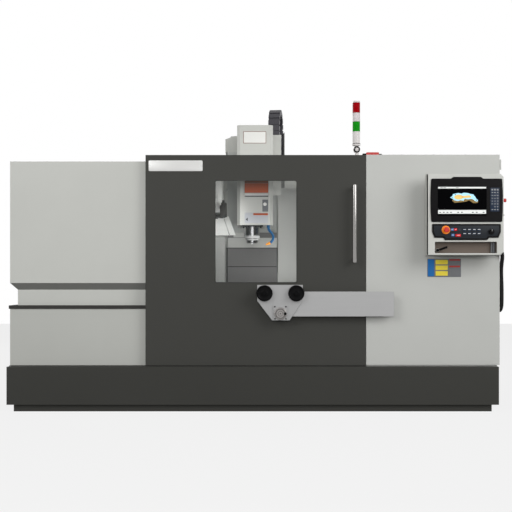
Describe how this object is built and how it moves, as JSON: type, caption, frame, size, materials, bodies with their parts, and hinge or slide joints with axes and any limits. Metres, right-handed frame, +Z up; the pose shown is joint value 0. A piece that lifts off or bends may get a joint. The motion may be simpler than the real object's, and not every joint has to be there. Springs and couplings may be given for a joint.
{
  "type": "vertical machining centre",
  "caption": "Enclosed vertical machining centre with a sliding window door, travelling table, saddle and head, tool carousel, swivelling control pendant and handwheels.",
  "frame": {"origin": "middle of the footprint on the floor, without the pendant's conduit", "axes": "+X to the right as seen from the front, +Y into the machine, +Z up"},
  "size_m": [3.533, 2.446, 2.3259],
  "materials": {
    "light_paint": "textured light grey paint",
    "dark_paint": "textured charcoal paint",
    "black_paint": "black paint",
    "white_paint": "smooth off-white paint",
    "galvanised": "bare sheet",
    "casting": "painted and scraped casting",
    "ground_iron": "ground cast iron",
    "ground_steel": "ground steel",
    "bar_steel": "satin steel",
    "pane": "clear sheet",
    "display": "display glass",
    "black_plastic": "moulded",
    "chain_plastic": "moulded",
    "membrane": "printed foil",
    "red_plastic": "moulded",
    "red_lens": "lens",
    "clear_lens": "lens",
    "green_lens": "lens",
    "grey_plastic": "moulded",
    "handwheel_metal": "turned aluminium",
    "hose_blue": "segmented hose",
    "conduit_sheath": "sheathed conduit"
  },
  "bodies": {
    "frame": {"base_skirt": "dark_paint", "machine_bed": "casting", "column": "casting", "column_caps": "light_paint", "fixed_apron": "galvanised", "column_chain_trough": "galvanised", "left_lower_guard": "light_paint", "left_upper_guard": "light_paint", "door_rail": "black_paint", "front_frame": "light_paint", "roof_panel": "light_paint", "rear_wall": "light_paint", "inner_guard": "white_paint", "right_cabinet": "light_paint", "y_motor": "black_paint", "z_motor": "black_paint", "electrical_cabinet": "light_paint", "coolant_tank": "dark_paint", "magazine_bracket": "light_paint", "handwheel_arm": "light_paint", "handwheel_plate": "galvanised", "tower_base": "grey_plastic", "tower_green": "green_lens", "tower_clear": "clear_lens", "tower_red": "red_lens", "door_interlock": "red_plastic", "pendant_bracket": "light_paint", "pendant_conduit": "conduit_sheath"},
    "door": {"door_panel": "dark_paint", "door_window": "pane", "door_handle": "bar_steel"},
    "saddle": {"saddle": "casting"},
    "table": {"work_table": "ground_iron", "x_motor": "black_paint"},
    "head": {"headstock": "casting", "head_cover": "white_paint", "spindle_motor": "black_paint", "coolant_hoses": "hose_blue", "way_apron": "galvanised"},
    "spindle": {"spindle": "ground_steel"},
    "x_screw": {"x_screw": "ground_steel"},
    "y_screw": {"y_screw": "ground_steel"},
    "z_screw": {"z_screw": "ground_steel"},
    "chain": {"energy_chain": "chain_plastic"},
    "magazine": {"magazine_carriage": "white_paint"},
    "carousel": {"tool_carousel": "ground_steel"},
    "pendant": {"pendant_housing": "light_paint", "display_bezel": "black_plastic", "screen_pane": "display", "operator_panel": "membrane"},
    "estop_button": {"estop_button": "red_plastic"},
    "override_knob": {"override_knob": "black_plastic"},
    "side_button": {"side_button": "red_plastic"},
    "clamp_lever": {"clamp_lever": "black_plastic"},
    "x_handwheel": {"x_handwheel": "handwheel_metal"},
    "y_handwheel": {"y_handwheel": "handwheel_metal"},
    "pulse_dial": {"pulse_dial": "handwheel_metal"},
    "side_door": {"side_door": "light_paint"},
    "cabinet_door": {"cabinet_door": "light_paint"},
    "main_switch": {"main_switch": "black_plastic"}
  },
  "joints": [
    {"name": "door_slide", "type": "slide", "parent": "frame", "child": "door", "axis": [-1, 0, 0], "range_m": [0, 0.94]},
    {"name": "saddle_travel", "type": "slide", "parent": "frame", "child": "saddle", "axis": [0, 1, 0], "range_m": [-0.245, 0.245]},
    {"name": "table_travel", "type": "slide", "parent": "saddle", "child": "table", "axis": [1, 0, 0], "range_m": [-0.72, 0.72]},
    {"name": "head_travel", "type": "slide", "parent": "frame", "child": "head", "axis": [0, 0, 1], "range_m": [-0.24, 0.36]},
    {"name": "spindle_spin", "type": "hinge", "parent": "head", "child": "spindle", "pos_m": [-0.0285, -0.289, 1.221], "axis": [0, 0, 1], "continuous": true},
    {"name": "x_screw_turn", "type": "hinge", "parent": "table", "child": "x_screw", "pos_m": [-0.0285, -0.289, 0.765], "axis": [1, 0, 0], "range_deg": [-16200.01, 16200.01]},
    {"name": "y_screw_turn", "type": "hinge", "parent": "frame", "child": "y_screw", "pos_m": [-0.0285, -0.389, 0.45], "axis": [0, 1, 0], "range_deg": [-5512.51, 5512.51]},
    {"name": "z_screw_turn", "type": "hinge", "parent": "frame", "child": "z_screw", "pos_m": [-0.0285, 0.346, 1], "axis": [0, 0, 1], "range_deg": [-5400.01, 8100.01]},
    {"name": "chain_roll", "type": "slide", "parent": "frame", "child": "chain", "axis": [0, 0, 1], "range_m": [-0.12, 0.18]},
    {"name": "magazine_slide", "type": "slide", "parent": "frame", "child": "magazine", "axis": [1, 0, 0], "range_m": [0, 0.075]},
    {"name": "carousel_turn", "type": "hinge", "parent": "magazine", "child": "carousel", "pos_m": [-0.5685, -0.289, 1.424], "axis": [0, 0, 1], "continuous": true},
    {"name": "pendant_swing", "type": "hinge", "parent": "frame", "child": "pendant", "pos_m": [1.261, -1.044, 1.146], "axis": [0, 0, -1], "range_deg": [0, 45]},
    {"name": "clamp_lever_turn", "type": "hinge", "parent": "pendant", "child": "clamp_lever", "pos_m": [1.261, -1.149, 1.1355], "axis": [0, -1, 0], "range_deg": [-15, 25]},
    {"name": "estop_push", "type": "slide", "parent": "pendant", "child": "estop_button", "axis": [0, 1, 0], "range_m": [0, 0.005]},
    {"name": "override_turn", "type": "hinge", "parent": "pendant", "child": "override_knob", "pos_m": [1.6242, -1.179, 1.262], "axis": [0, 1, 0], "range_deg": [-135, 135]},
    {"name": "side_button_push", "type": "slide", "parent": "pendant", "child": "side_button", "axis": [-1, 0, 0], "range_m": [0, 0.006], "stiffness_N_per_m": 600},
    {"name": "x_handwheel_turn", "type": "hinge", "parent": "frame", "child": "x_handwheel", "pos_m": [0.06, -1.069, 0.837], "axis": [0, 1, 0], "continuous": true},
    {"name": "y_handwheel_turn", "type": "hinge", "parent": "frame", "child": "y_handwheel", "pos_m": [0.2825, -1.069, 0.837], "axis": [0, 1, 0], "continuous": true},
    {"name": "pulse_dial_turn", "type": "hinge", "parent": "frame", "child": "pulse_dial", "pos_m": [0.1713, -1.069, 0.694], "axis": [0, 1, 0], "continuous": true},
    {"name": "side_door_swing", "type": "hinge", "parent": "frame", "child": "side_door", "pos_m": [1.7395, -0.963, 1.2], "axis": [0, 0, -1], "range_deg": [0, 110]},
    {"name": "cabinet_door_swing", "type": "hinge", "parent": "frame", "child": "cabinet_door", "pos_m": [0.3995, 1.167, 0.33], "axis": [0, 0, -1], "range_deg": [0, 110]},
    {"name": "main_switch_turn", "type": "hinge", "parent": "cabinet_door", "child": "main_switch", "pos_m": [-0.2785, 1.191, 1.35], "axis": [0, 1, 0], "range_deg": [0, 90]}
  ],
  "couplings": [
    {"joint": "x_screw_turn", "follows": "table_travel", "rad_per_m": 392.7},
    {"joint": "y_screw_turn", "follows": "saddle_travel", "rad_per_m": 392.7},
    {"joint": "z_screw_turn", "follows": "head_travel", "rad_per_m": 392.7},
    {"joint": "chain_roll", "follows": "head_travel", "ratio": 0.5}
  ]
}
